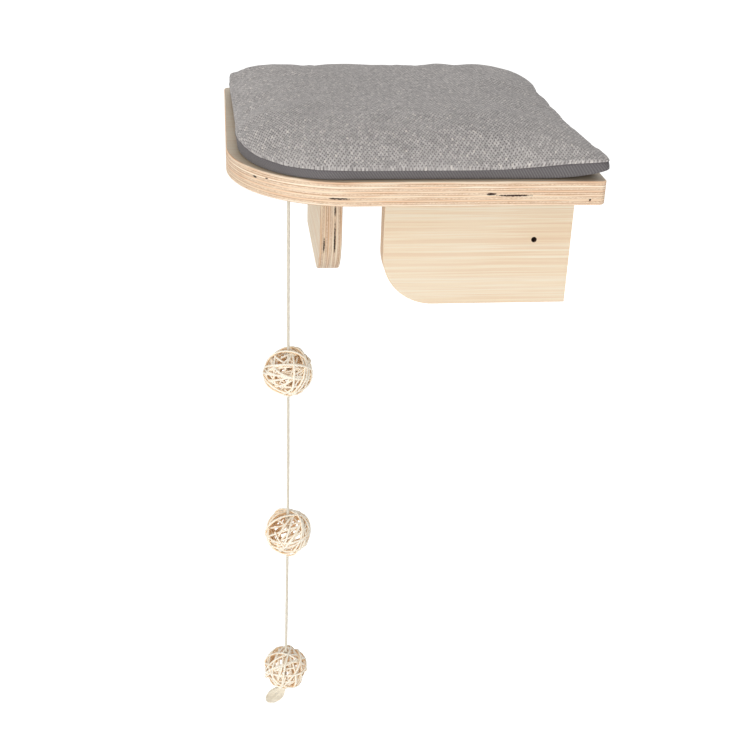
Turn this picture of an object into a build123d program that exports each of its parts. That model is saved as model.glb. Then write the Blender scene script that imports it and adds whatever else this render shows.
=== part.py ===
from build123d import *
import os
from math import atan2, ceil, cos, degrees, pi, radians, sin, sqrt

# Cat wall corner platform: a plywood board that fits a room corner, on two plywood brackets,
# with a loose cushion on top and three wound rattan balls on a cord below its free corner.
# The origin is the corner of the board's top face where the two walls meet.
# +X points into the side wall, +Y into the back wall and +Z up. Lengths are in millimetres.

# Board
platform_side = 300.0
board_thickness = 20.0
free_corner_radius = 98.0
plain_corner_radius = 5.0
board_edge_chamfer = 0.9

# Brackets
bracket_thickness = 20.0
bracket_length_share = 0.5533
bracket_height = 120.0
bracket_inset_share = 0.2767
bracket_corner_radius = 46.0
bracket_edge_chamfer = 0.6
bolt_hole_diameter = 5.0
bolt_hole_from_wall = 33.0
bolt_hole_drop = 60.0

# Countersunk screws that hold the board on the brackets
screw_length = 50.0
screw_shank_diameter = 4.5
screw_head_diameter = 9.4
screw_head_height = 2.6
screw_point_length = 7.0
screw_point_diameter = 0.8
screw_sides = 12
screw_sink = 0.3
screw_from_wall = 40.0
screw_from_free_end = 34.0
screw_board_clearance = 0.25
screw_pilot_clearance = 0.05
drive_slot_length = 5.0
drive_slot_width = 1.3
drive_slot_depth = 2.2

# Cushion
cushion_rest_gap = 0.3
cushion_free_inset = 4.0
cushion_wall_gap = 2.5
cushion_seam_height = 10.0
cushion_crown_height = 36.0
cushion_free_corner_radius = 96.0
cushion_wall_corner_radius = 30.0
cushion_plain_corner_radius = 16.0
cushion_draw_in = 2.5
cushion_corner_steps = (13, 5, 6, 5)
cushion_side_steps = 6
cover_thickness = 1.5
cover_clearance = 0.6
base_layer_shares = ((1.0, 0.0), (0.982, 0.55), (0.955, 1.0))
crown_layer_shares = (
    (1.0, 0.0), (0.98, 0.155), (0.946, 0.345), (0.905, 0.5), (0.85, 0.655), (0.782, 0.795),
    (0.694, 0.905), (0.578, 0.972), (0.42, 1.0),
)

# Cord of the toy
cord_diameter = 2.6
cord_inset = 50.0
cord_hole_diameter = 5.0
knot_recess_diameter = 13.0
knot_recess_depth = 8.0
top_knot_diameter = 8.5
stop_knot_diameter = 6.6
ball_knot_diameter = 7.2
end_knot_diameter = 7.2
knot_sides = 8
knot_ring_share = 0.9
knot_ring_height_share = 0.4
knot_end_share = 0.45
knot_end_height_share = 0.85
swing_clearance = 0.3
seat_clearance = 0.05

# Frayed end of the cord under the lowest ball
frayed_length = 16.0
frayed_width = 12.0
frayed_neck_width = 4.5
frayed_thickness = 3.5
frayed_lean_degrees = 38.0
frayed_belly_share = 0.62

# Rattan balls: how far below the board each one hangs and how far the cord strays sideways there
ball_drops = (167.0, 335.0, 496.0)
ball_strays = (0.0, 0.5, -2.0)
ball_diameter = 45.0
rattan_width = 2.5
rattan_sides = 3
winding_loops = 4
winding_tilt_degrees = 56.0
winding_offset = 5.0
winding_stretch_share = 1.3
winding_lean_degrees = 18.0
winding_turn_degrees = 246.0
ball_spins_degrees = (0.0, 130.0, 250.0)
knot_above_centre = 14.7
end_knot_below_centre = 23.1
quarters = 4
gap_sample_step = 0.4
least_gap_wanted = 0.4

os.makedirs("parts", exist_ok=True)

board_underside = -board_thickness
bracket_length = platform_side * bracket_length_share
bracket_inset = platform_side * bracket_inset_share
bracket_bottom = board_underside - bracket_height
bracket_middle = -platform_side + bracket_inset + bracket_thickness / 2
cord_x = -platform_side + cord_inset
cord_y = -platform_side + cord_inset
screw_places = (-screw_from_wall, -bracket_length + screw_from_free_end)


def save(name, solid):
    """Name a piece and write it to its own file."""
    solid.label = name
    export_step(solid, f"parts/{name}.step")


def plan_outline(low, high, radii, draw_in, z):
    """A square with four rounded corners, from the free corner anticlockwise, and drawn-in sides."""
    free, side, wall, back = radii
    corners = [
        ((low, low + free), (low + free, low), (low + free, low + free)),
        ((high - side, low), (high, low + side), (high - side, low + side)),
        ((high, high - wall), (high - wall, high), (high - wall, high - wall)),
        ((low + back, high), (low, high - back), (low + back, high - back)),
    ]
    inward = [(0, draw_in), (-draw_in, 0), (0, -draw_in), (draw_in, 0)]
    edges = []
    for index, (start, end, centre) in enumerate(corners):
        radius = radii[index]
        spread = ((start[0] + end[0]) / 2 - centre[0], (start[1] + end[1]) / 2 - centre[1])
        grow = radius / sqrt(spread[0] ** 2 + spread[1] ** 2)
        middle = (centre[0] + spread[0] * grow, centre[1] + spread[1] * grow, z)
        edges.append(Edge.make_three_point_arc((*start, z), middle, (*end, z)))
        following = corners[(index + 1) % len(corners)][0]
        across = inward[index]
        if draw_in:
            belly = (
                (end[0] + following[0]) / 2 + across[0],
                (end[1] + following[1]) / 2 + across[1],
                z,
            )
            edges.append(Edge.make_three_point_arc((*end, z), belly, (*following, z)))
        else:
            edges.append(Edge.make_line((*end, z), (*following, z)))
    return Wire(edges)


def screw_hole(x, y, radius, bottom):
    """A straight hole for one screw from above the board down to a depth."""
    top = screw_head_height
    return Pos(x, y, bottom) * Cylinder(
        radius, top - bottom, align=(Align.CENTER, Align.CENTER, Align.MIN)
    )


def head_cone(x, y, clearance):
    """The countersink of one screw head, opened upwards so that it cuts the face cleanly."""
    head_radius = screw_head_diameter / 2 + clearance
    shank_radius = screw_shank_diameter / 2 + clearance
    cone = Cone(
        shank_radius, head_radius, screw_head_height,
        align=(Align.CENTER, Align.CENTER, Align.MAX),
    )
    mouth = Cylinder(head_radius, screw_sink * 2, align=(Align.CENTER, Align.CENTER, Align.MIN))
    return Pos(x, y, -screw_sink) * (cone + mouth)


def screw_points():
    """Where the four screws stand: two along each bracket."""
    back = [(bracket_middle, place) for place in screw_places]
    side = [(place, bracket_middle) for place in screw_places]
    return back, side


def platform_board():
    """The square board with its large free corner, screw holes and the cord's hole and recess."""
    radii = (free_corner_radius, plain_corner_radius, plain_corner_radius, plain_corner_radius)
    outline = plan_outline(-platform_side, 0, radii, 0, board_underside)
    board = extrude(make_face(outline), board_thickness)
    rims = board.edges().filter_by(GeomType.LINE) + board.edges().filter_by(GeomType.CIRCLE)
    flat = [edge for edge in rims if edge.bounding_box().size.Z < board_edge_chamfer / 2]
    board = chamfer(flat, board_edge_chamfer)
    back, side = screw_points()
    for x, y in back + side:
        hole_radius = screw_shank_diameter / 2 + screw_board_clearance
        board -= screw_hole(x, y, hole_radius, board_underside - screw_sink)
        board -= head_cone(x, y, screw_pilot_clearance)
    board -= Pos(cord_x, cord_y, board_underside / 2) * Cylinder(
        cord_hole_diameter / 2, board_thickness * 2
    )
    board -= Pos(cord_x, cord_y, -knot_recess_depth) * Cylinder(
        knot_recess_diameter / 2, board_thickness, align=(Align.CENTER, Align.CENTER, Align.MIN)
    )
    return board


def bracket():
    """The back wall's bracket: its wall end on Y = 0, its free lower corner rounded."""
    left = bracket_middle - bracket_thickness / 2
    free_end = -bracket_length
    rise = bracket_bottom + bracket_corner_radius
    bend = free_end + bracket_corner_radius
    slant = bracket_corner_radius * (1 - sqrt(1 / 2))
    outline = Wire([
        Edge.make_line((left, 0, board_underside), (left, free_end, board_underside)),
        Edge.make_line((left, free_end, board_underside), (left, free_end, rise)),
        Edge.make_three_point_arc(
            (left, free_end, rise),
            (left, free_end + slant, bracket_bottom + slant),
            (left, bend, bracket_bottom),
        ),
        Edge.make_line((left, bend, bracket_bottom), (left, 0, bracket_bottom)),
        Edge.make_line((left, 0, bracket_bottom), (left, 0, board_underside)),
    ])
    panel = extrude(make_face(outline), bracket_thickness, dir=(1, 0, 0))
    seen = panel.edges().filter_by(
        lambda edge: edge.bounding_box().max.Z < board_underside - bracket_edge_chamfer
        and edge.bounding_box().size.X < bracket_edge_chamfer
        and edge.bounding_box().max.Y < -bracket_edge_chamfer / 2
        or edge.bounding_box().size.Z > bracket_corner_radius / 2
        and edge.bounding_box().max.Y < -bracket_edge_chamfer
    )
    panel = chamfer(seen, bracket_edge_chamfer)
    for x, y in screw_points()[0]:
        radius = screw_shank_diameter / 2 + screw_pilot_clearance
        panel -= screw_hole(x, y, radius, -screw_sink - screw_length)
    bolt_place = Pos(bracket_middle, -bolt_hole_from_wall, board_underside - bolt_hole_drop)
    across = Rot(0, 90, 0) * Cylinder(bolt_hole_diameter / 2, bracket_thickness * 2)
    return panel - bolt_place * across


def screw(x, y):
    """One countersunk wood screw with flat-sided rounds and a cross recess, sunk into the board."""
    head_radius = screw_head_diameter / 2
    shank_radius = screw_shank_diameter / 2
    point_radius = screw_point_diameter / 2
    flat_share = cos(pi / screw_sides)
    head_slope = degrees(atan2((head_radius - shank_radius) * flat_share, screw_head_height))
    point_slope = degrees(atan2((shank_radius - point_radius) * flat_share, screw_point_length))
    section = RegularPolygon(shank_radius, screw_sides)
    straight = screw_length - screw_point_length - screw_head_height
    head = extrude(RegularPolygon(head_radius, screw_sides), screw_head_height, taper=head_slope)
    shank = Pos(0, 0, screw_head_height) * extrude(section, straight)
    point = extrude(section, screw_point_length, taper=point_slope)
    point = Pos(0, 0, screw_length - screw_point_length) * point
    body = Rot(180, 0, 0) * (head + shank + point)
    for turn in (0, 90):
        slot = Box(
            drive_slot_length, drive_slot_width, drive_slot_depth,
            align=(Align.CENTER, Align.CENTER, Align.MAX),
        )
        body -= Rot(0, 0, turn) * slot
    return Pos(x, y, -screw_sink) * body


def cushion_ring(plan_share, height, shrink):
    """The corner points of the cushion's outline at one height, scaled about its middle."""
    width = platform_side - cushion_free_inset - cushion_wall_gap
    middle = -cushion_wall_gap - width / 2
    cut = plan_share * (1 - 2 * shrink / width)
    radii = (
        cushion_free_corner_radius, cushion_plain_corner_radius,
        cushion_wall_corner_radius, cushion_plain_corner_radius,
    )
    points = []
    for corner, (radius, steps) in enumerate(zip(radii, cushion_corner_steps)):
        turned = pi / 2 * corner
        along = width / 2 - radius
        bend = [pi + pi / 2 * step / steps for step in range(steps + 1)]
        local = [(radius * cos(angle) - along, radius * sin(angle) - along) for angle in bend]
        next_radius = radii[(corner + 1) % len(radii)]
        run = width - radius - next_radius
        for step in range(1, cushion_side_steps):
            part = step / cushion_side_steps
            inward = cushion_draw_in * (1 - (2 * part - 1) ** 2)
            local.append((run * part - along, inward - width / 2))
        for x, y in local:
            points.append((
                middle + cut * (x * cos(turned) - y * sin(turned)),
                middle + cut * (x * sin(turned) + y * cos(turned)),
                height,
            ))
    return points


def cushion_rings(shares, start, height, shrink):
    """The outlines of one half of the cushion, from its seam to its cap."""
    return [cushion_ring(plan, start + height * rise, shrink) for plan, rise in shares]


def cushion_skin(rings):
    """The flat facets between the outlines, without the first outline's cap."""
    facets = []
    for lower, upper in zip(rings, rings[1:]):
        for index in range(len(lower)):
            following = (index + 1) % len(lower)
            corners = [lower[index], lower[following], upper[following], upper[index]]
            facets.append(Face(Wire.make_polygon(corners)))
    facets.append(Face(Wire.make_polygon(rings[-1])))
    return facets


def hollow(outer, inner):
    """A cover with an even wall, open at its seam: an outer skin, an inner skin and the rim between."""
    rim = Face(Wire.make_polygon(outer[0]), [Wire.make_polygon(inner[0])])
    return Solid(Shell(cushion_skin(outer) + cushion_skin(inner) + [rim])).fix()


def cushion():
    """The cushion: a crowned top cover and a base cover that meet at the seam, and the filling."""
    seam = cushion_seam_height
    crown_rise = cushion_crown_height - seam
    base_drop = cushion_rest_gap - seam
    cover = cover_thickness
    inside = cover_thickness + cover_clearance
    top = cushion_rings(crown_layer_shares, seam, crown_rise, 0)
    base = cushion_rings(base_layer_shares, seam, base_drop, 0)
    top_space = cushion_rings(crown_layer_shares, seam, crown_rise - cover, cover)
    base_space = cushion_rings(base_layer_shares, seam, base_drop + cover, cover)
    filling_top = cushion_rings(crown_layer_shares, seam, crown_rise - inside, inside)
    filling_base = cushion_rings(base_layer_shares, seam, base_drop + inside, inside)
    filling = Solid(Shell(cushion_skin(filling_top) + cushion_skin(filling_base))).fix()
    return hollow(top, top_space), hollow(base, base_space), filling


def knot(x, y, z, diameter):
    """A tight knot of the cord: a faceted barrel that stays inside a ball of its diameter."""
    radius = diameter / 2
    belly = radius * knot_ring_height_share
    rise = radius * (knot_end_height_share - knot_ring_height_share)
    slope = degrees(atan2(radius * (knot_ring_share - knot_end_share), rise))
    ring = RegularPolygon(radius * knot_ring_share, knot_sides)
    barrel = extrude(Pos(0, 0, -belly) * ring, belly * 2)
    cap = Pos(0, 0, belly) * extrude(ring, rise, taper=slope)
    return Pos(x, y, z) * (barrel + cap + Rot(180, 0, 0) * cap)


def cord_run(top, bottom):
    """A straight stretch of the hanging cord between two points."""
    path = Edge.make_line(top, bottom)
    section = Plane(origin=top, z_dir=path % 0) * Circle(cord_diameter / 2)
    return sweep(section, path)


def frayed_end(x, y, z):
    """The cord's loose end, opened out to a flat fan that leans to one side."""
    neck = frayed_neck_width / 2
    widest = frayed_width / 2
    end = widest * frayed_belly_share
    belly = -frayed_length * frayed_belly_share
    half = frayed_thickness / 2
    outline = Polyline(
        (neck, half, 0), (widest, half, belly), (end, half, -frayed_length),
        (-end, half, -frayed_length), (-widest, half, belly), (-neck, half, 0), (neck, half, 0),
    )
    fan = extrude(make_face(outline), frayed_thickness, dir=(0, -1, 0))
    return Pos(x, y, z) * Rot(0, frayed_lean_degrees, 0) * fan


def winding_point(turn):
    """A point of the rattan strand's middle after so many turns, about the ball's centre."""
    tilt = radians(winding_tilt_degrees)
    along = 2 * pi * turn
    round_axis = along / winding_loops
    reach = (ball_diameter - rattan_width) / 2 - winding_offset
    distance = reach - winding_offset * cos(along)
    forward = Vector(cos(round_axis), sin(round_axis), 0)
    rise = sin(tilt) * winding_stretch_share
    upward = Vector(-cos(tilt) * sin(round_axis), cos(tilt) * cos(round_axis), rise)
    return forward * (distance * cos(along)) + upward * (distance * sin(along))


def winding_direction(turn):
    """The strand's direction at a point, from two points close beside it."""
    beside = 1 / 100000
    return (winding_point(turn + beside) - winding_point(turn - beside)).normalized()


def biarc(start, start_way, end, end_way):
    """Two arcs that run from one point and direction to another without a kink."""
    chord = end - start
    both = start_way + end_way
    turn_share = 2 * (1 - start_way.dot(end_way))
    inside = chord.dot(both) ** 2 + 2 * turn_share * chord.dot(chord) / 2
    reach = (sqrt(inside) - chord.dot(both)) / turn_share
    joint = (start + start_way * reach + end - end_way * reach) / 2
    first = Edge.make_tangent_arc(start, start_way, joint)
    second = Edge.make_tangent_arc(joint, first % 1, end)
    return [first, second]


def winding_path():
    """The whole strand: one biarc for each quarter turn."""
    arcs = []
    for quarter in range(winding_loops * quarters - 1):
        start = quarter / quarters
        end = (quarter + 1) / quarters
        arcs += biarc(
            winding_point(start), winding_direction(start),
            winding_point(end), winding_direction(end),
        )
    return arcs


def rattan_winding(arcs):
    """The strand's solid: a three-sided section swept along its arcs."""
    path = Wire(arcs)
    section = Plane(origin=path @ 0, x_dir=path @ 0, z_dir=path % 0) * RegularPolygon(
        rattan_width / 2, rattan_sides
    )
    return sweep(section, path)


def least_gap(arcs):
    """The least gap between two turns of the strand, measured on points along it."""
    points = []
    travelled = 0.0
    for arc in arcs:
        steps = ceil(arc.length / gap_sample_step)
        for step in range(steps):
            points.append((travelled + arc.length * step / steps, *(arc @ (step / steps))))
        travelled += arc.length
    apart = ball_diameter / 2
    least = ball_diameter ** 2
    for index, (place, x, y, z) in enumerate(points):
        for other, a, b, c in points[index + 1:]:
            if other - place > apart:
                least = min(least, (a - x) ** 2 + (b - y) ** 2 + (c - z) ** 2)
    return sqrt(least) - rattan_width


def toy():
    """The cord with its knots, the three balls on it and the frayed end."""
    pieces = {}
    heights = [board_underside - drop for drop in ball_drops]
    sides = [cord_x + stray for stray in ball_strays]
    top_knot_z = -knot_recess_depth + top_knot_diameter / 2 * knot_end_height_share
    stop_z = board_underside - swing_clearance - stop_knot_diameter / 2
    pieces["top_knot"] = knot(cord_x, cord_y, top_knot_z, top_knot_diameter)
    pieces["cord_through_board"] = cord_run(
        (cord_x, cord_y, -knot_recess_depth), (cord_x, cord_y, board_underside)
    )
    pieces["stop_knot"] = knot(cord_x, cord_y, stop_z, stop_knot_diameter)
    knots = [
        (sides[0], heights[0] + knot_above_centre, ball_knot_diameter, "upper_ball_knot"),
        (sides[1], heights[1] + knot_above_centre, ball_knot_diameter, "middle_ball_knot"),
        (sides[2], heights[2] - end_knot_below_centre, end_knot_diameter, "end_knot"),
    ]
    above = (cord_x, cord_y, stop_z - stop_knot_diameter / 2 - swing_clearance)
    runs = ("upper_cord", "middle_cord", "lower_cord")
    for (x, z, diameter, name), run in zip(knots, runs):
        half = diameter / 2 * knot_end_height_share
        pieces[name] = knot(x, cord_y, z, diameter)
        pieces[run] = cord_run(above, (x, cord_y, z + half + seat_clearance))
        above = (x, cord_y, z - half - seat_clearance)
    dip = frayed_neck_width / 2 * sin(radians(frayed_lean_degrees))
    pieces["frayed_end"] = frayed_end(above[0], above[1], above[2] - dip)
    arcs = winding_path()
    print(f"least gap between turns of a ball: {least_gap(arcs):.2f} (over {least_gap_wanted})")
    print(f"tightest arc of a ball: {min(arc.radius for arc in arcs):.1f}")
    winding = rattan_winding(arcs)
    names = ("upper_ball", "middle_ball", "lower_ball")
    lean = Rot(0, -winding_lean_degrees, 0) * Rot(0, 0, -winding_turn_degrees)
    for name, x, z, spin in zip(names, sides, heights, ball_spins_degrees):
        pieces[name] = Pos(x, cord_y, z) * Rot(0, 0, spin) * lean * winding
    return pieces


save("platform_board", platform_board())
back_bracket = bracket()
save("back_wall_bracket", back_bracket)
diagonal = Plane(origin=(0, 0, 0), x_dir=(0, 0, 1), z_dir=(1, -1, 0))
save("side_wall_bracket", mirror(back_bracket, diagonal))
for wall_name, places in zip(("back", "side"), screw_points()):
    for end_name, place in zip(("wall", "free"), places):
        save(f"{wall_name}_bracket_{end_name}_screw", screw(*place))
for name, piece in zip(("cushion_top_cover", "cushion_base_cover", "cushion_filling"), cushion()):
    save(name, piece)
for name, piece in toy().items():
    save(name, piece)
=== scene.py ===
from math import ceil, cos, exp, pi, radians, sin, sqrt
from random import Random

import bpy
from mathutils import Matrix, Quaternion, Vector


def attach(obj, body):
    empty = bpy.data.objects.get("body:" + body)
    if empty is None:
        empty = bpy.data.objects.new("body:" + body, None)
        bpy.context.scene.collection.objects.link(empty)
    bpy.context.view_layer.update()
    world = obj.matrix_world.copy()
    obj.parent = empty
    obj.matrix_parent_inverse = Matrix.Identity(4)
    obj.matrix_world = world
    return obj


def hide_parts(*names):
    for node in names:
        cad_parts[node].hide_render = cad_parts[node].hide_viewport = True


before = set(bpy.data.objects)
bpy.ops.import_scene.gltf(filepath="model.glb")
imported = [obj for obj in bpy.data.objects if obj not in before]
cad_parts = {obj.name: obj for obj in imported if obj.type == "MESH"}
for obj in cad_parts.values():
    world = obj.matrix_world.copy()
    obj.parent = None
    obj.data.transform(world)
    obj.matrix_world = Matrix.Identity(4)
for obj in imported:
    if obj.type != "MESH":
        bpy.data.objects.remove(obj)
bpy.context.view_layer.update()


# Sizes in metres, and a quarter turn
side = 0.300
board_thickness = 0.020
cord_spot = Vector((-0.250, -0.250, 0.0))
cord_radius = 0.0013
ball_centres = {
    "upper_ball": Vector((-0.2500, -0.250, -0.187)),
    "middle_ball": Vector((-0.2495, -0.250, -0.355)),
    "lower_ball": Vector((-0.2520, -0.250, -0.516)),
}
seam_height = 0.0100
yarn_width = 0.0030
yarn_length = 0.0046
twill_pitch = 0.0023
floor_height = -1.25
quarter = pi / 2


# Working habits
def pick(*pieces):
    """Leave edit mode and select these pieces only; the last one is active."""
    if bpy.context.object and bpy.context.object.mode != "OBJECT":
        bpy.ops.object.mode_set(mode="OBJECT")
    bpy.ops.object.select_all(action="DESELECT")
    for piece in pieces:
        piece.select_set(True)
        bpy.context.view_layer.objects.active = piece


def settle(piece):
    """Put a piece's place and turn into its mesh, so its object sits at the origin."""
    pick(piece)
    bpy.ops.object.transform_apply(location=True, rotation=True, scale=True)


def press(piece, kind, **values):
    """Add one modifier and apply it."""
    pick(piece)
    modifier = piece.modifiers.new(kind.title(), kind)
    for name, value in values.items():
        setattr(modifier, name, value)
    bpy.ops.object.modifier_apply(modifier=modifier.name)


def edit_whole(piece):
    """Go into edit mode with the whole mesh of a piece selected."""
    pick(piece)
    bpy.ops.object.mode_set(mode="EDIT")
    bpy.ops.mesh.select_all(action="SELECT")


def put(name, data):
    """A new object in the scene."""
    piece = bpy.data.objects.new(name, data)
    bpy.context.scene.collection.objects.link(piece)
    return piece


def from_lists(name, points, faces):
    """A mesh piece from its points and faces."""
    mesh = bpy.data.meshes.new(name)
    mesh.from_pydata([tuple(point) for point in points], [], faces)
    mesh.validate()
    return put(name, mesh)


def skin(rings, size, first=0):
    """The faces of a closed tube: rings of so many points each, one after the other, and two caps."""
    faces = []
    for ring in range(rings - 1):
        low = first + ring * size
        for corner in range(size):
            following = (corner + 1) % size
            faces.append((low + corner, low + following, low + size + following, low + size + corner))
    last = first + (rings - 1) * size
    faces.append(tuple(range(first + size - 1, first - 1, -1)))
    faces.append(tuple(range(last, last + size)))
    return faces


def dress(piece, material):
    """Give a piece one material."""
    piece.data.materials.clear()
    piece.data.materials.append(material)


def smooth(piece, angle=radians(40)):
    """Smooth shading that keeps real edges sharp."""
    pick(piece)
    bpy.ops.object.shade_smooth_by_angle(angle=angle)


# Nodes
class Bench:
    """Short ways to add and join the nodes of one node tree."""

    def __init__(self, tree):
        self.tree = tree

    def add(self, kind, **settings):
        node = self.tree.nodes.new(kind)
        for name, value in settings.items():
            setattr(node, name, value)
        return node

    def feed(self, source, socket):
        if isinstance(source, bpy.types.NodeSocket):
            self.tree.links.new(source, socket)
        elif source is not None:
            socket.default_value = source

    def sum(self, operation, *values, clamp=False):
        node = self.add("ShaderNodeMath", operation=operation, use_clamp=clamp)
        for value, socket in zip(values, node.inputs):
            self.feed(value, socket)
        return node.outputs[0]

    def swing(self, value, reach):
        return self.sum("MULTIPLY", self.sum("SUBTRACT", value, 0.5), reach)

    def between(self, value, low, high, first=0.0, last=1.0):
        node = self.add("ShaderNodeMapRange", clamp=True)
        for entry, socket in zip((value, low, high, first, last), node.inputs):
            self.feed(entry, socket)
        return node.outputs[0]

    def mix(self, share, first, second, blend="MIX"):
        node = self.add("ShaderNodeMix", data_type="RGBA", blend_type=blend, clamp_factor=True)
        self.feed(share, node.inputs[0])
        self.feed(first, node.inputs[6])
        self.feed(second, node.inputs[7])
        return node.outputs[2]

    def blend(self, share, first, second):
        node = self.add("ShaderNodeMixShader")
        for value, socket in zip((share, first, second), node.inputs):
            self.feed(value, socket)
        return node.outputs[0]

    def noise(self, place, scale, detail=2.0, rough=0.5):
        node = self.add("ShaderNodeTexNoise")
        self.feed(place, node.inputs["Vector"])
        self.feed(scale, node.inputs["Scale"])
        self.feed(detail, node.inputs["Detail"])
        self.feed(rough, node.inputs["Roughness"])
        return node.outputs["Fac"]

    def stretch(self, place, scale, shift=(0, 0, 0), turn=(0, 0, 0)):
        node = self.add("ShaderNodeMapping")
        self.feed(place, node.inputs["Vector"])
        node.inputs["Scale"].default_value = scale
        node.inputs["Location"].default_value = shift
        node.inputs["Rotation"].default_value = turn
        return node.outputs[0]

    def parts(self, place):
        node = self.add("ShaderNodeSeparateXYZ")
        self.feed(place, node.inputs[0])
        return node.outputs

    def point(self, x, y, z):
        node = self.add("ShaderNodeCombineXYZ")
        for value, socket in zip((x, y, z), node.inputs):
            self.feed(value, socket)
        return node.outputs[0]

    def group(self, tree, **inputs):
        node = self.add("ShaderNodeGroup", node_tree=tree)
        for name, value in inputs.items():
            self.feed(value, node.inputs[name.replace("_", " ")])
        return node.outputs


def start_group(name, inputs, outputs):
    """An empty node group with named inputs and outputs."""
    tree = bpy.data.node_groups.new(name, "ShaderNodeTree")
    for label, kind, value in inputs:
        socket = tree.interface.new_socket(name=label, in_out="INPUT", socket_type=kind)
        if value is not None:
            socket.default_value = value
    for label, kind in outputs:
        tree.interface.new_socket(name=label, in_out="OUTPUT", socket_type=kind)
    bench = Bench(tree)
    return bench, bench.add("NodeGroupInput").outputs, bench.add("NodeGroupOutput").inputs


def start_material(name, roughness=0.6, **fixed):
    """A material with its shader; fixed values are set on the shader's own sockets."""
    material = bpy.data.materials.new(name)
    material.use_nodes = True
    material.node_tree.nodes.clear()
    bench = Bench(material.node_tree)
    shader = bench.add("ShaderNodeBsdfPrincipled")
    output = bench.add("ShaderNodeOutputMaterial")
    bench.feed(shader.outputs[0], output.inputs["Surface"])
    shader.inputs["Roughness"].default_value = roughness
    for label, value in fixed.items():
        shader.inputs[label.replace("_", " ")].default_value = value
    place = bench.add("ShaderNodeTexCoord").outputs["Object"]
    return material, bench, shader.inputs, place


def complete(bench, sockets, base, height, depth, strength):
    """Feed the shader its colour and its relief: a height, in shares of a real depth in metres."""
    bump = bench.add("ShaderNodeBump")
    bump.inputs["Strength"].default_value = strength
    bump.inputs["Distance"].default_value = depth
    bench.feed(height, bump.inputs["Height"])
    bench.feed(bump.outputs[0], sockets["Normal"])
    bench.feed(base, sockets["Base Color"])


# Camera, light and floor
def stand_camera():
    """The camera at the photographed viewing angle."""
    yaw = radians(7.126)
    pitch = radians(26.432)
    roll = radians(1.939)
    ahead = Vector((sin(yaw) * cos(pitch), cos(yaw) * cos(pitch), -sin(pitch)))
    level = Vector((cos(yaw), -sin(yaw), 0))
    above = level.cross(ahead)
    across = level * cos(roll) + above * sin(roll)
    up = above * cos(roll) - level * sin(roll)
    data = bpy.data.cameras.new("camera")
    data.sensor_width = 36
    data.lens = 60.27
    data.clip_start = 0.01
    data.clip_end = 50
    camera = put("camera", data)
    place = Vector((-0.3014, -1.2038, 0.2945))
    turn = Matrix((across, up, -ahead)).transposed().to_4x4()
    camera.matrix_world = Matrix.Translation(place) @ turn
    bpy.context.scene.camera = camera


def hang_lamp(name, place, target, size, power):
    """One square soft lamp that looks at a point."""
    data = bpy.data.lights.new(name, "AREA")
    data.shape = "SQUARE"
    data.size = size
    data.energy = power
    lamp = put(name, data)
    aim = (Vector(target) - Vector(place)).to_track_quat("-Z", "Y")
    lamp.matrix_world = Matrix.Translation(place) @ aim.to_matrix().to_4x4()


def light_studio():
    """Soft lamps from the front, and a room that looks white to the camera."""
    middle = (-0.15, -0.15, -0.15)
    hang_lamp("front_lamp", (-1.90, -2.00, 0.40), middle, 2.2, 36)
    hang_lamp("low_lamp", (0.9, -2.4, -0.5), middle, 1.8, 20)
    hang_lamp("top_lamp", (-0.2, -0.1, 2.3), middle, 2.0, 9)
    hang_lamp("back_lamp", (0.4, 2.4, 0.8), middle, 2.0, 10)
    world = bpy.data.worlds.new("room")
    bpy.context.scene.world = world
    world.use_nodes = True
    world.node_tree.nodes.clear()
    bench = Bench(world.node_tree)
    layers = []
    for strength in (0.45, 1.0):
        white = bench.add("ShaderNodeBackground")
        bench.feed((1, 1, 1, 1), white.inputs["Color"])
        bench.feed(strength, white.inputs["Strength"])
        layers.append(white.outputs[0])
    output = bench.add("ShaderNodeOutputWorld")
    bench.feed(bench.blend(white_rays(bench), *layers), output.inputs["Surface"])


def white_rays(bench):
    """One for the rays that should see plain white: from the camera, by gloss and through glass."""
    path = bench.add("ShaderNodeLightPath").outputs
    direct = bench.sum("MAXIMUM", path["Is Camera Ray"], path["Is Glossy Ray"])
    return bench.sum("MAXIMUM", direct, path["Is Transmission Ray"])


def lay_floor():
    """A plain pale floor, as far below as under a shelf on a wall."""
    pick()
    bpy.ops.mesh.primitive_plane_add(size=30, location=(0, 0, floor_height))
    floor_piece = bpy.context.object
    floor_piece.name = "floor"
    settle(floor_piece)
    material = bpy.data.materials.new("pale_floor")
    material.use_nodes = True
    material.node_tree.nodes.clear()
    bench = Bench(material.node_tree)
    matt = bench.add("ShaderNodeBsdfDiffuse")
    bench.feed((0.78, 0.78, 0.77, 1), matt.inputs["Color"])
    white = bench.add("ShaderNodeEmission")
    bench.feed(0.80, white.inputs["Strength"])
    both = bench.add("ShaderNodeAddShader")
    bench.feed(matt.outputs[0], both.inputs[0])
    bench.feed(white.outputs[0], both.inputs[1])
    output = bench.add("ShaderNodeOutputMaterial")
    bench.feed(bench.blend(white_rays(bench), matt.outputs[0], both.outputs[0]), output.inputs["Surface"])
    dress(floor_piece, material)


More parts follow.
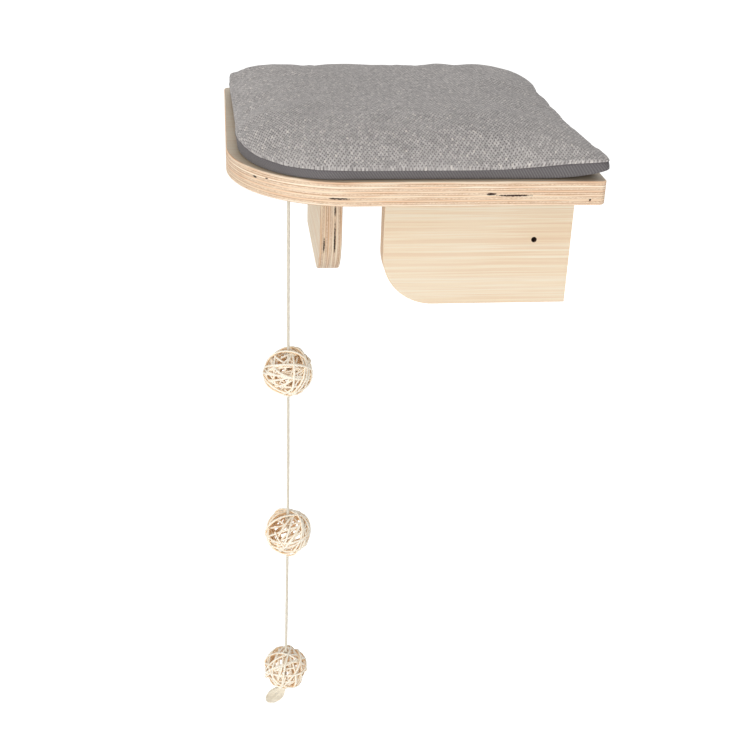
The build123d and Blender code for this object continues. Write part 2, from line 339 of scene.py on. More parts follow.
# Shared effects
def streaks_group():
    """Long fine streaks of wood grain: X runs along the grain."""
    bench, given, out = start_group(
        "wood_streaks",
        [("Place", "NodeSocketVector", None), ("Length", "NodeSocketFloat", 5.0)],
        [("Broad", "NodeSocketFloat"), ("Fine", "NodeSocketFloat")],
    )
    x, y, z = bench.parts(given["Place"])
    along = bench.sum("MULTIPLY", x, given["Length"])
    waver = bench.noise(bench.stretch(given["Place"], (9, 9, 9)), 1.0, 1.0)
    sway = bench.swing(waver, 0.0014)
    y = bench.sum("ADD", y, sway)
    z = bench.sum("ADD", z, sway)
    for label, shorter, rate, detail, rough in (
        ("Broad", 1.0, 560.0, 3.0, 0.55),
        ("Fine", 2.4, 1300.0, 2.0, 0.6),
    ):
        spot = bench.point(
            bench.sum("MULTIPLY", along, shorter),
            bench.sum("MULTIPLY", y, rate),
            bench.sum("MULTIPLY", z, rate),
        )
        bench.feed(bench.noise(spot, 1.0, detail, rough), out[label])
    return bench.tree


def void_group():
    """A gap in a ply, painted near black as its shade: a ragged lens round one point, as long and high as
    Size says.
    """
    bench, given, out = start_group(
        "ply_void_painted_shade",
        [
            ("Place", "NodeSocketVector", None), ("Centre", "NodeSocketVector", None),
            ("Size", "NodeSocketVector", None), ("Ragged", "NodeSocketFloat", 0.5),
        ],
        [("Mask", "NodeSocketFloat")],
    )
    gap = bench.add("ShaderNodeVectorMath", operation="SUBTRACT")
    bench.feed(given["Place"], gap.inputs[0])
    bench.feed(given["Centre"], gap.inputs[1])
    share = bench.add("ShaderNodeVectorMath", operation="DIVIDE")
    bench.feed(gap.outputs[0], share.inputs[0])
    bench.feed(given["Size"], share.inputs[1])
    reach = bench.add("ShaderNodeVectorMath", operation="LENGTH")
    bench.feed(share.outputs[0], reach.inputs[0])
    rough = bench.noise(bench.stretch(given["Place"], (520, 520, 1500)), 1.0, 2.0)
    ragged = bench.swing(rough, given["Ragged"])
    edge = bench.sum("ADD", reach.outputs["Value"], bench.sum("MULTIPLY", ragged, 2.0))
    bench.feed(bench.between(edge, 0.75, 1.05, 1.0, 0.0), out["Mask"])
    return bench.tree


def fuzz_group():
    """Soft broad patches of colour and fine lint for cloth and cord."""
    bench, given, out = start_group(
        "cloth_fuzz",
        [
            ("Place", "NodeSocketVector", None),
            ("Patch", "NodeSocketFloat", 18.0),
            ("Lint", "NodeSocketFloat", 2400.0),
        ],
        [("Patches", "NodeSocketFloat"), ("Fibres", "NodeSocketFloat")],
    )
    bench.feed(bench.noise(given["Place"], given["Patch"], 3.0, 0.6), out["Patches"])
    bench.feed(bench.noise(given["Place"], given["Lint"], 2.0, 0.7), out["Fibres"])
    return bench.tree


streaks = streaks_group()
ply_void_painted_shade = void_group()
fuzz = fuzz_group()


# Materials
def shades(tone, *colours):
    """The same colours, darkened by one factor."""
    return [(red * tone, green * tone, blue * tone, 1) for red, green, blue in colours]


def veneer(name, turn, tone):
    """The pale face of the plywood; turn brings the grain along X, and tone darkens it."""
    material, bench, sockets, place = start_material(name, 0.56, Specular_IOR_Level=0.35)
    turned = bench.stretch(place, (1, 1, 1), turn=turn)
    grain = bench.group(streaks, Place=turned, Length=3.2)
    pale, warm, light = shades(tone, (0.840, 0.690, 0.500), (0.755, 0.535, 0.355), (0.860, 0.755, 0.600))
    base = bench.mix(bench.between(grain["Broad"], 0.53, 0.60, 0.0, 0.60), pale, warm)
    base = bench.mix(bench.between(grain["Broad"], 0.47, 0.40), base, light)
    base = bench.mix(bench.between(grain["Fine"], 0.52, 0.64, 0.0, 0.55), base, warm)
    patch = bench.noise(bench.stretch(turned, (7, 20, 20)), 1.0, 2.0)
    base = bench.mix(bench.between(patch, 0.35, 0.7, 0.0, 0.40), base, light)
    bench.feed(bench.between(grain["Fine"], 0.3, 0.7, 0.50, 0.64), sockets["Roughness"])
    complete(bench, sockets, base, grain["Fine"], 0.00008, 0.5)
    return material


def ply_edge(name, turn, start, voids, seed, tone):
    """The striped edge of the plywood; turn brings its thickness along Z, from start upwards."""
    material, bench, sockets, place = start_material(name, 0.62, Specular_IOR_Level=0.3)
    turned = bench.stretch(place, (1, 1, 1), turn=turn)
    height = bench.parts(turned)[2]
    plies = 11
    sway = bench.noise(bench.stretch(turned, (14, 14, 30), shift=(seed, 0, 0)), 1.0, 2.0)
    lift = bench.swing(sway, 0.0011)
    depth = bench.sum("ADD", bench.sum("SUBTRACT", height, start), lift)
    count = bench.sum("MULTIPLY", depth, plies / board_thickness)
    number = bench.sum("FLOOR", count)
    inside = bench.sum("FRACT", count)
    odd = bench.sum("MODULO", bench.sum("ABSOLUTE", number), 2.0)
    kind = bench.add("ShaderNodeTexWhiteNoise", noise_dimensions="1D")
    bench.feed(bench.sum("ADD", number, seed), kind.inputs["W"])
    streak = bench.noise(bench.stretch(turned, (22, 22, 900), shift=(seed, 0, 0)), 1.0, 3.0, 0.6)
    speck = bench.noise(bench.stretch(turned, (500, 500, 1500), shift=(seed, 0, 0)), 1.0, 2.0, 0.6)
    pale = bench.mix(bench.between(streak, 0.38, 0.62), (0.98, 0.86, 0.69, 1), (0.88, 0.61, 0.41, 1))
    cross = bench.mix(bench.between(speck, 0.35, 0.65), (0.93, 0.76, 0.60, 1), (0.62, 0.42, 0.27, 1))
    clear, dull = shades(tone, (1, 1, 1), (0.92, 0.87, 0.81))
    base = bench.mix(bench.sum("MULTIPLY", odd, 0.75), pale, cross)
    base = bench.mix(1.0, base, bench.mix(kind.outputs["Value"], clear, dull), "MULTIPLY")
    rim = bench.sum("ABSOLUTE", bench.sum("SUBTRACT", inside, 0.5))
    glue = bench.between(rim, 0.36, 0.44)
    glue = bench.sum("MULTIPLY", glue, bench.between(streak, 0.42, 0.58, 0.25, 0.95))
    base = bench.mix(glue, base, (0.38, 0.18, 0.090, 1))
    crack_noise = bench.noise(bench.stretch(turned, (60, 60, 900), shift=(seed + 3, 0, 0)), 1.0, 1.0)
    crack = bench.between(crack_noise, 0.73, 0.78, 0.0, 0.7)
    base = bench.mix(crack, base, (0.30, 0.15, 0.07, 1))
    hollow = None
    for centre, size in voids:
        node = bench.group(ply_void_painted_shade, Place=place, Centre=centre, Size=size, Ragged=0.7)
        hollow = node["Mask"] if hollow is None else bench.sum("MAXIMUM", hollow, node["Mask"])
    if hollow is not None:
        # Painted shade: the gaps in the plies are near black for the shade inside them.
        base = bench.mix(hollow, base, (0.035, 0.018, 0.012, 1))
        crack = bench.sum("MAXIMUM", crack, hollow)
    level = bench.sum("SUBTRACT", bench.sum("MULTIPLY", odd, -0.25), glue)
    level = bench.sum("SUBTRACT", level, bench.sum("MULTIPLY", crack, 2.0))
    complete(bench, sockets, base, level, 0.00012, 0.6)
    return material


def top_cloth():
    """Light grey canvas of thick slub yarn, woven on the bias, with near-black painted shade in the gaps
    between its yarns.
    """
    material, bench, sockets, place = start_material(
        "top_cloth", 0.92, Specular_IOR_Level=0.15, Sheen_Weight=0.2, Sheen_Roughness=0.5
    )
    u, v = bench.parts(bench.add("ShaderNodeUVMap", uv_map="weave").outputs[0])[:2]
    sway = bench.noise(bench.stretch(place, (16, 16, 16)), 1.0, 2.0)
    other_sway = bench.noise(bench.stretch(place, (16, 16, 16), shift=(3, 5, 0)), 1.0, 2.0)
    u = bench.sum("ADD", u, bench.swing(sway, 0.007))
    v = bench.sum("ADD", v, bench.swing(other_sway, 0.009))
    across = bench.sum("MULTIPLY", u, 1 / yarn_width)
    along = bench.sum("MULTIPLY", v, 1 / yarn_length)
    crossing = bench.sum("MULTIPLY", bench.sum("COSINE", bench.sum("MULTIPLY", across, 2 * pi)), 0.35)
    heights = []
    names = []
    for operation, over in (("ADD", crossing), ("SUBTRACT", bench.sum("MULTIPLY", crossing, -1.0))):
        reach = bench.sum(operation, across, along)
        away = bench.sum("PINGPONG", reach, 0.5)
        fall = bench.sum("POWER", bench.sum("MULTIPLY", away, 2.35), 2.0)
        ridge = bench.sum("SUBTRACT", 1.0, fall, clamp=True)
        heights.append(bench.sum("MULTIPLY", ridge, bench.sum("ADD", over, 0.65)))
        names.append(bench.sum("ROUND", reach))
    bead = bench.sum("MAXIMUM", heights[0], heights[1])
    kind = bench.add("ShaderNodeTexWhiteNoise", noise_dimensions="2D")
    bench.feed(bench.point(names[0], names[1], 0.0), kind.inputs["Vector"])
    haze = bench.group(fuzz, Place=place, Patch=14.0, Lint=2600.0)
    light = bench.mix(kind.outputs["Value"], (0.420, 0.398, 0.390, 1), (0.620, 0.588, 0.568, 1))
    cream = bench.between(kind.outputs["Value"], 0.95, 0.97, 0.0, 0.30)
    light = bench.mix(cream, light, (0.860, 0.800, 0.720, 1))
    patches = bench.between(haze["Patches"], 0.35, 0.65)
    # Painted shade: the gaps between the yarns, where the weave is lowest, are near black.
    dark = bench.mix(patches, (0.110, 0.096, 0.094, 1), (0.265, 0.243, 0.238, 1))
    base = bench.mix(bench.between(bead, 0.05, 0.60), dark, light)
    base = bench.mix(bench.between(haze["Fibres"], 0.35, 0.75, 0.0, 0.30), base, (0.36, 0.34, 0.33, 1))
    slub = bench.noise(bench.stretch(place, (560, 300, 340)), 1.0, 2.0, 0.7)
    grain = bench.mix(bench.between(slub, 0.32, 0.68), (0.80, 0.79, 0.79, 1), (1.22, 1.21, 1.20, 1))
    base = bench.mix(1.0, base, grain, "MULTIPLY")
    complete(bench, sockets, base, bead, 0.0007, 0.75)
    return material


def base_cloth():
    """Dark grey twill of the cushion's base."""
    material, bench, sockets, place = start_material(
        "base_cloth", 0.85, Specular_IOR_Level=0.2, Sheen_Weight=0.15, Sheen_Roughness=0.4
    )
    haze = bench.group(fuzz, Place=place, Patch=24.0, Lint=3200.0)
    u, v = bench.parts(bench.add("ShaderNodeUVMap", uv_map="weave").outputs[0])[:2]
    slant = bench.sum("ADD", u, bench.sum("MULTIPLY", v, 0.7))
    thread = bench.sum("SINE", bench.sum("MULTIPLY", slant, 2 * pi / twill_pitch))
    fibres = bench.between(haze["Fibres"], 0.3, 0.7)
    base = bench.mix(fibres, (0.150, 0.140, 0.142, 1), (0.215, 0.202, 0.204, 1))
    base = bench.mix(bench.between(thread, -0.35, 0.60, 0.0, 0.50), base, (0.068, 0.060, 0.063, 1))
    base = bench.mix(bench.between(haze["Patches"], 0.4, 0.7, 0.0, 0.3), base, (0.12, 0.108, 0.112, 1))
    complete(bench, sockets, base, thread, 0.00012, 0.5)
    return material


def seam_thread():
    """The darker sewn edge between the two cloths."""
    material, bench, sockets, place = start_material("seam_thread", 0.9, Specular_IOR_Level=0.15)
    haze = bench.group(fuzz, Place=place, Patch=60.0, Lint=2600.0)
    base = bench.mix(haze["Fibres"], (0.105, 0.095, 0.098, 1), (0.17, 0.155, 0.158, 1))
    complete(bench, sockets, base, haze["Fibres"], 0.0002, 0.6)
    return material


def cotton(name, tone):
    """Natural cotton: cream and a little fluffy; tone darkens or lightens it."""
    material, bench, sockets, place = start_material(
        name, 0.88, Specular_IOR_Level=0.2, Sheen_Weight=0.2, Sheen_Roughness=0.5
    )
    haze = bench.group(fuzz, Place=place, Patch=70.0, Lint=5200.0)
    base = bench.mix(bench.between(haze["Fibres"], 0.3, 0.7), (0.86, 0.80, 0.68, 1), (0.74, 0.655, 0.51, 1))
    base = bench.mix(bench.between(haze["Patches"], 0.35, 0.7, 0.0, 0.4), base, (0.88, 0.84, 0.75, 1))
    base = bench.mix(1.0, base, (tone, tone, tone, 1), "MULTIPLY")
    complete(bench, sockets, base, haze["Fibres"], 0.00015, 0.6)
    return material


def rattan_finish():
    """Peeled rattan: pale straw outside with a soft gloss; warm tan painted shade where a strand faces into
    the ball or lies deep in it.
    """
    material, bench, sockets, place = start_material("rattan", 0.5, Specular_IOR_Level=0.4)
    haze = bench.group(fuzz, Place=place, Patch=120.0, Lint=3000.0)
    outer = bench.add("ShaderNodeAttribute", attribute_name="outer").outputs["Fac"]
    base = bench.mix(bench.between(haze["Patches"], 0.32, 0.68), (1.00, 0.95, 0.84, 1), (0.98, 0.90, 0.75, 1))
    base = bench.mix(bench.between(haze["Fibres"], 0.5, 0.8, 0.0, 0.30), base, (0.80, 0.60, 0.40, 1))
    # Painted shade: warm tan where the strand faces inward or lies deep, by the 'outer' attribute, for the
    # shade and bounced light inside the ball.
    base = bench.mix(bench.between(outer, 0.42, 0.82), (0.99, 0.73, 0.46, 1), base)
    bench.feed(bench.between(haze["Fibres"], 0.3, 0.7, 0.42, 0.6), sockets["Roughness"])
    complete(bench, sockets, base, haze["Fibres"], 0.00012, 0.5)
    return material


def hole_shade():
    """Painted shade: near-black wood colour inside a drilled hole, for the shade in the bore."""
    material, bench, sockets, place = start_material("drilled_hole_painted_shade", 0.9, Specular_IOR_Level=0.1)
    rough = bench.noise(bench.stretch(place, (900, 900, 900)), 1.0, 2.0)
    base = bench.mix(bench.between(rough, 0.3, 0.7), (0.070, 0.042, 0.038, 1), (0.150, 0.095, 0.085, 1))
    complete(bench, sockets, base, rough, 0.0001, 0.5)
    return material


def screw_plating():
    """Bright zinc plating with fine turning marks."""
    material, bench, sockets, place = start_material("screw_plating", 0.3, Metallic=1.0)
    marks = bench.noise(bench.stretch(place, (900, 900, 6000)), 1.0, 2.0)
    base = bench.mix(bench.between(marks, 0.3, 0.7), (0.72, 0.72, 0.69, 1), (0.60, 0.61, 0.60, 1))
    bench.feed(bench.between(marks, 0.3, 0.7, 0.24, 0.42), sockets["Roughness"])
    complete(bench, sockets, base, marks, 0.00005, 0.4)
    return material


# Cord, knots and frayed end
def follow(points, step=0.0005):
    """Even points along a smooth spline that a route guides."""
    data = bpy.data.curves.new("route", "CURVE")
    data.dimensions = "3D"
    data.resolution_u = 24
    spline = data.splines.new("NURBS")
    spline.points.add(len(points) - 1)
    for knot, place in zip(spline.points, points):
        knot.co = (*place, 1)
    spline.order_u = 3
    spline.use_endpoint_u = True
    helper = put("route", data)
    bpy.context.view_layer.update()
    mesh = bpy.data.meshes.new_from_object(helper.evaluated_get(bpy.context.evaluated_depsgraph_get()))
    line = [vertex.co.copy() for vertex in mesh.vertices]
    bpy.data.objects.remove(helper)
    bpy.data.meshes.remove(mesh)
    return spaced(line, step)


def spaced(line, step):
    """The same line with points at even distances."""
    reach = [0.0]
    for first, second in zip(line, line[1:]):
        reach.append(reach[-1] + (second - first).length)
    count = max(2, ceil(reach[-1] / step))
    result = []
    index = 0
    for number in range(count + 1):
        want = reach[-1] * number / count
        while index < len(line) - 2 and reach[index + 1] < want:
            index += 1
        run = reach[index + 1] - reach[index] or 1
        result.append(line[index].lerp(line[index + 1], (want - reach[index]) / run))
    return result


def rope(name, line, radius, pitch=0.0085, sides=18):
    """A twisted rope of three strands round a line: a lobed section that turns as it goes."""
    strands = 3
    core = 0.79
    ridge = 0.21
    points = []
    travelled = 0.0
    ahead = (line[1] - line[0]).normalized()
    across = ahead.orthogonal().normalized()
    for index, centre in enumerate(line):
        if index:
            travelled += (centre - line[index - 1]).length
        way = (line[min(index + 1, len(line) - 1)] - line[max(index - 1, 0)]).normalized()
        across = (across - way * across.dot(way)).normalized()
        up = way.cross(across)
        for corner in range(sides):
            angle = 2 * pi * corner / sides
            lobe = abs(cos(strands * (angle - 2 * pi * travelled / pitch / strands) / 2))
            reach = radius * (core + ridge * sqrt(lobe))
            points.append(centre + across * (cos(angle) * reach) + up * (sin(angle) * reach))
    piece = from_lists(name, points, skin(len(line), sides))
    smooth(piece, radians(60))
    return piece


def barrel_knot(name, centre, height, outer, lean, seed):
    """A knot: the cord wound two and a half times round itself, pulled tight."""
    turns = 2.6
    thread = cord_radius * 0.86
    line = []
    steps = 150
    for step in range(steps + 1):
        part = step / steps
        angle = 2 * pi * turns * part + seed
        ease = min(1, sin(pi * part) * 3.2)
        reach = (outer - thread) * ease
        rise = (part - 0.5) * (height - 1.6 * thread)
        tilt = sin(angle) * lean * ease
        line.append(centre + Vector((cos(angle) * reach, sin(angle) * reach, rise + tilt)))
    line = spaced(line, 0.0004)
    return rope(name, line, thread, 0.0062, 14)


def frayed_tuft(centre, tip):
    """The cord's loose end, opened out into a flat fan of fine fibres."""
    dice = Random(5)
    fibres = 330
    steps = 8
    closing = 0.7
    points = []
    faces = []
    axis = (tip - centre).normalized()
    wide = Vector((0, 1, 0)).cross(axis).normalized()
    thin = axis.cross(wide)
    length = (tip - centre).length
    for number in range(fibres):
        spread = dice.uniform(-1, 1)
        layer = dice.uniform(-1, 1)
        reach = length * dice.uniform(0.84, 1.0) * (1 - 0.13 * abs(spread) ** 2)
        swing = dice.uniform(-0.0009, 0.0009)
        thickness = dice.uniform(0.00020, 0.00036)
        faces += skin(steps + 1, 4, len(points))
        for step in range(steps + 1):
            part = step / steps
            open_out = 0.0012 + 0.0066 * sin(min(part * 1.5, 1) * pi / 2)
            if part > closing:
                open_out *= 1 - (part - closing) * 0.9
            middle = centre + axis * (reach * part)
            middle += wide * (spread * open_out + swing * part * part)
            middle += thin * (layer * (0.0011 - 0.0003 * part) + 0.0006 * sin(part * 3 + spread * 2))
            size = thickness * (1 - 0.55 * part)
            for corner in range(4):
                angle = quarter * corner
                points.append(middle + wide * (cos(angle) * size) + thin * (sin(angle) * size))
    piece = from_lists("frayed_tuft", points, faces)
    edit_whole(piece)
    bpy.ops.mesh.normals_make_consistent(inside=False)
    bpy.ops.object.mode_set(mode="OBJECT")
    smooth(piece, radians(70))
    return piece


def make_cord(finish, tuft_finish):
    """The cord through the board and down to its frayed end, with its knots."""
    x, y = cord_spot.x, cord_spot.y
    exit_point = Vector((x, y, -0.0272))
    middle_knot = Vector((-0.2495, y, -0.3403))
    end = Vector((-0.2520, y, -0.5391))
    line = follow([exit_point, Vector((x, y, -0.1000)), Vector((x, y, -0.1725)), middle_knot, end])
    cord = rope("hanging_cord", line, cord_radius)
    knots = {
        "stop_knot": (Vector((x, y, -0.0236)), 0.0056, 0.0030, "swing_knot"),
        "top_knot": (Vector((x, y, -0.0044)), 0.0070, 0.0037, "platform"),
        "upper_ball_knot": (Vector((x, y, -0.1723)), 0.0061, 0.0032, "toy_cord"),
        "middle_ball_knot": (middle_knot, 0.0061, 0.0032, "toy_cord"),
        "end_knot": (end, 0.0061, 0.0033, "toy_cord"),
    }
    made = {}
    pieces = []
    for index, (node, (centre, height, outer, body)) in enumerate(knots.items()):
        made[node] = barrel_knot("tied_" + node, centre, height, outer, 0.0005, index * 1.7)
        pieces.append((made[node], finish, body, [node]))
    through = rope("cord_in_board", follow([Vector((x, y, -0.0078)), Vector((x, y, -0.0200))]), cord_radius)
    pieces.append((through, finish, "platform", ["cord_through_board"]))
    tuft = frayed_tuft(Vector((-0.2532, y, -0.5404)), Vector((-0.2702, y, -0.5602)))
    pieces.append((tuft, tuft_finish, "toy_cord", ["frayed_end"]))
    pieces.append((cord, finish, "toy_cord", ["upper_cord", "middle_cord", "lower_cord"]))
    for piece, look, body, nodes in pieces:
        dress(piece, look)
        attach(piece, body)
        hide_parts(*nodes)


# Rattan balls
strand_radius = 0.00098
sprung_radius = 0.00080
strand_end = 0.0190
cord_room = 0.0031


def tube(name, points, radius):
    """One open strand along its guiding points, as a closed mesh."""
    pick()
    bpy.ops.curve.primitive_nurbs_path_add(location=(0, 0, 0))
    strand = bpy.context.object
    strand.name = name
    spline = strand.data.splines[0]
    spline.points.add(len(points) - len(spline.points))
    for knot, place in zip(spline.points, points):
        knot.co = (*place, 1)
    spline.order_u = 3
    spline.use_endpoint_u = True
    spline.resolution_u = 5
    strand.data.bevel_depth = radius
    strand.data.bevel_resolution = 2
    strand.data.use_fill_caps = True
    bpy.ops.object.convert(target="MESH")
    return bpy.context.object


def clears_cord(first, middle, last):
    """Whether the bend that three guiding points give leaves room for the upright cord."""
    for step in range(13):
        part = step / 12
        near = first.lerp(middle, 0.5 + 0.5 * part)
        far = middle.lerp(last, 0.5 * part)
        place = near.lerp(far, part)
        if place.x ** 2 + place.y ** 2 < cord_room ** 2:
            return False
    return True


def next_guide(dice, spot, heading, points, shell):
    """The winding's next guiding point: further round the ball, with a slight turn to either side."""
    for attempt in range(60):
        step = radians(dice.uniform(58, 92))
        turn = radians(dice.gauss(0, 8) + dice.choice((0, 0, 0, 0, 34, -34)) + attempt * 2.5)
        way = Quaternion(spot, turn) @ heading
        side = spot.cross(way).normalized()
        there = Quaternion(side, step) @ spot
        guide = there * (shell / (0.75 + 0.25 * cos(step)))
        if len(points) < 2 or clears_cord(points[-2], points[-1], guide):
            break
    return there, side.cross(there).normalized(), guide


def winding(dice, count):
    """The guiding points of one long strand, wound round and round in all directions."""
    spot = Vector((0.3, -1, 0.2)).normalized()
    heading = spot.orthogonal().normalized()
    points = [spot * strand_end]
    for number in range(count):
        shell = 0.0172 + 0.0040 * min(1, number / count * 1.25) + dice.uniform(-0.0006, 0.0005)
        spot, heading, guide = next_guide(dice, spot, heading, points, shell)
        points.append(guide)
    points[-1] = spot * strand_end
    return points


def loose_end(dice):
    """The guiding points of a short strand end that has sprung off the ball."""
    outward = Vector((dice.gauss(0, 1), dice.gauss(0, 1) - 0.5, dice.gauss(0, 0.7))).normalized()
    way = Vector((dice.gauss(0, 1), dice.gauss(0, 1), dice.gauss(0, 1)))
    along = (way - outward * way.dot(outward)).normalized()
    sweep = dice.uniform(0.6, 1.1)
    lift = dice.uniform(0.0003, 0.0009)
    points = []
    for step in range(5):
        angle = sweep * step / 4
        points.append((outward * cos(angle) + along * sin(angle)) * (0.0208 + lift * (step / 4) ** 2))
    return points


def rattan_ball(name, centre, seed, count, squeeze):
    """A ball wound from one long rattan strand in all directions, with two sprung ends."""
    dice = Random(seed)
    parts = [tube(name, winding(dice, count), strand_radius)]
    for number in range(2):
        parts.append(tube("loose_strand", loose_end(dice), sprung_radius))
    pick(*parts)
    bpy.context.view_layer.objects.active = parts[0]
    bpy.ops.object.join()
    ball = bpy.context.object
    ball.name = name
    mark_painted_shade(ball)
    edit_whole(ball)
    bpy.ops.transform.resize(value=squeeze)
    bpy.ops.object.mode_set(mode="OBJECT")
    ball.location = centre
    settle(ball)
    smooth(ball, radians(70))
    return ball


def mark_painted_shade(ball):
    """An attribute for painted shade: one where the strand faces out of the ball, falling to nothing where it
    faces in or lies towards the ball's middle.
    """
    mark = ball.data.attributes.new("outer", "FLOAT", "POINT")
    for vertex, entry in zip(ball.data.vertices, mark.data):
        way = vertex.co.normalized()
        entry.value = (0.5 + 0.5 * vertex.normal.dot(way)) * min(1, vertex.co.length / 0.0195)


def make_balls(finish):
    """The three balls: each one's body, random seed, count of guiding points and squeeze."""
    plan = {
        "upper_ball": ("first_ball", 11, 150, (1.01, 1.01, 1.0)),
        "middle_ball": ("second_ball", 29, 125, (0.99, 0.99, 0.97)),
        "lower_ball": ("third_ball", 37, 125, (1.00, 1.00, 0.95)),
    }
    for node, (body, seed, count, squeeze) in plan.items():
        ball = rattan_ball("rattan_" + node, ball_centres[node], seed, count, squeeze)
        dress(ball, finish)
        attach(ball, body)
        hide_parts(node)


# Plywood panels
def panel(node, name, across, bolt, face, edge):
    """A plywood panel: veneer on both faces, plies round it, and near-black painted shade on the inside of
    its bolt hole.
    """
    bolt_reach = 0.0026
    piece = put(name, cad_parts[node].data.copy())
    edit_whole(piece)
    bpy.ops.mesh.remove_doubles(threshold=0.000005)
    bpy.ops.mesh.dissolve_limited(angle_limit=radians(0.4))
    bpy.ops.object.mode_set(mode="OBJECT")
    piece.data.materials.clear()
    piece.data.materials.append(face)
    piece.data.materials.append(edge)
    for polygon in piece.data.polygons:
        polygon.material_index = 0 if abs(polygon.normal.dot(across)) > 0.9 else 1
    if bolt is not None:
        # Painted shade: the faces of the bolt hole's bore get the near-black hole finish.
        piece.data.materials.append(hole_shade())
        for polygon in piece.data.polygons:
            gap = polygon.center - bolt
            gap -= across * gap.dot(across)
            if gap.length < bolt_reach and polygon.material_index == 1:
                polygon.material_index = 2
    smooth(piece, radians(30))
    press(piece, "WEIGHTED_NORMAL", keep_sharp=True, weight=100)
    return piece


def make_panels():
    """The board and the two brackets under it."""
    front = -side
    board_voids = [
        ((-0.2150, front, -0.0135), (0.0115, 0.003, 0.00075)),
        ((-0.0933, front, -0.0101), (0.0042, 0.003, 0.00110)),
        ((-0.0750, front, -0.0114), (0.0145, 0.003, 0.00080)),
        ((-0.0131, front, -0.0155), (0.0010, 0.003, 0.00100)),
        ((-0.2774, -0.2646, -0.0062), (0.0026, 0.0026, 0.00090)),
        ((-0.2686, -0.2739, -0.0047), (0.0016, 0.0016, 0.00060)),
    ]
    back_voids = [
        ((-0.2035, -0.166, -0.1010), (0.0008, 0.004, 0.0210)),
        ((-0.2037, -0.166, -0.0700), (0.0007, 0.004, 0.0055)),
        ((-0.2132, -0.166, -0.1053), (0.0008, 0.004, 0.0095)),
    ]
    plan = (
        (
            "platform_board", "plywood_board", "board_plywood", Vector((0, 0, 1)), None,
            # Painted shade: tone 0.70 darkens the board's veneer all over, for the shade beside and under the
            # cushion.
            veneer("board_veneer", (0, 0, 0), 0.70),
            ply_edge("board_plies", (0, 0, 0), -board_thickness, board_voids, 4.0, 1.0),
        ),
        (
            "side_wall_bracket", "plywood_side_bracket", "bracket_plywood", Vector((0, 1, 0)),
            Vector((-0.033, -0.207, -0.080)),
            veneer("side_bracket_veneer", (0, 0, 0), 1.0),
            ply_edge("side_bracket_plies", (quarter, 0, 0), 0.197, [], 9.0, 1.0),
        ),
        (
            "back_wall_bracket", "plywood_back_bracket", "bracket_plywood", Vector((1, 0, 0)),
            Vector((-0.207, -0.033, -0.080)),
            veneer("back_bracket_veneer", (0, 0, quarter), 1.0),
            ply_edge("back_bracket_plies", (0, -quarter, 0), -0.217, back_voids, 15.0, 0.86),
        ),
    )
    for node, name, slot_name, across, bolt, face, edge in plan:
        piece = panel(node, name, across, bolt, face, edge)
        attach(piece, "platform")
        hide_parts(node)


# Cushion
cushion_low = -0.2960
cushion_high = -0.0025
cushion_middle = (cushion_high + cushion_low) / 2
cushion_half = (cushion_high - cushion_low) / 2
cushion_tip = (cushion_high, cushion_low)
crown_height = 0.0360
swell_height = crown_height - seam_height
outline_step = 0.005
corner_reaches = ((0.080, 0.090), (0.009, 0.009), (0.030, 0.030), (0.022, 0.022))
draw_in = 0.0010
seam_radius = 0.00055
base_shares = (
    (0.30, 0.05), (0.80, 0.05), (0.972, 0.04), (0.984, 0.06), (0.990, 0.16), (0.993, 0.42), (0.995, 0.72),
    (0.996, 0.98),
)
crown_shares = (
    (1.0, 0.0), (1.010, 0.06), (1.008, 0.115), (0.989, 0.215), (0.95, 0.36), (0.905, 0.515), (0.85, 0.66),
    (0.782, 0.80), (0.694, 0.908), (0.578, 0.974), (0.42, 1.0), (0.2, 1.0),
)


def cushion_outline(share):
    """Points round the cushion's seam, scaled about its middle, from the free corner anticlockwise."""
    half = cushion_half
    points = []
    for corner, (across, along) in enumerate(corner_reaches):
        turned = quarter * corner
        steps = max(5, round((across + along) * pi / 4 / outline_step))
        local = []
        for step in range(steps + 1):
            angle = pi + quarter * step / steps
            local.append((across * (1 + cos(angle)) - half, along * (1 + sin(angle)) - half))
        following = corner_reaches[(corner + 1) % len(corner_reaches)][1]
        run = 2 * half - across - following
        count = round(run / outline_step)
        for step in range(1, count):
            part = step / count
            inward = draw_in * (1 - (2 * part - 1) ** 2)
            local.append((across + run * part - half, inward - half))
        for x, y in local:
            points.append((
                cushion_middle + share * (x * cos(turned) - y * sin(turned)),
                cushion_middle + share * (x * sin(turned) + y * cos(turned)),
            ))
    return points


def ringed(name, rings):
    """A closed piece from outlines that lie above each other, with a cap at both ends."""
    points = []
    for ring, height in rings:
        points += [(x, y, height) for x, y in ring]
    return from_lists(name, points, skin(len(rings), len(rings[0][0])))


def base_rings():
    """The base cover's outlines with their heights, from its foot up to the seam."""
    return [(cushion_outline(plan), seam_height * rise) for plan, rise in base_shares]


def cut_cushion():
    """The whole cushion as it is cut, before it is stuffed."""
    rings = base_rings()
    for plan, rise in crown_shares:
        rings.append((cushion_outline(plan), seam_height + swell_height * rise))
    return ringed("cushion", rings)


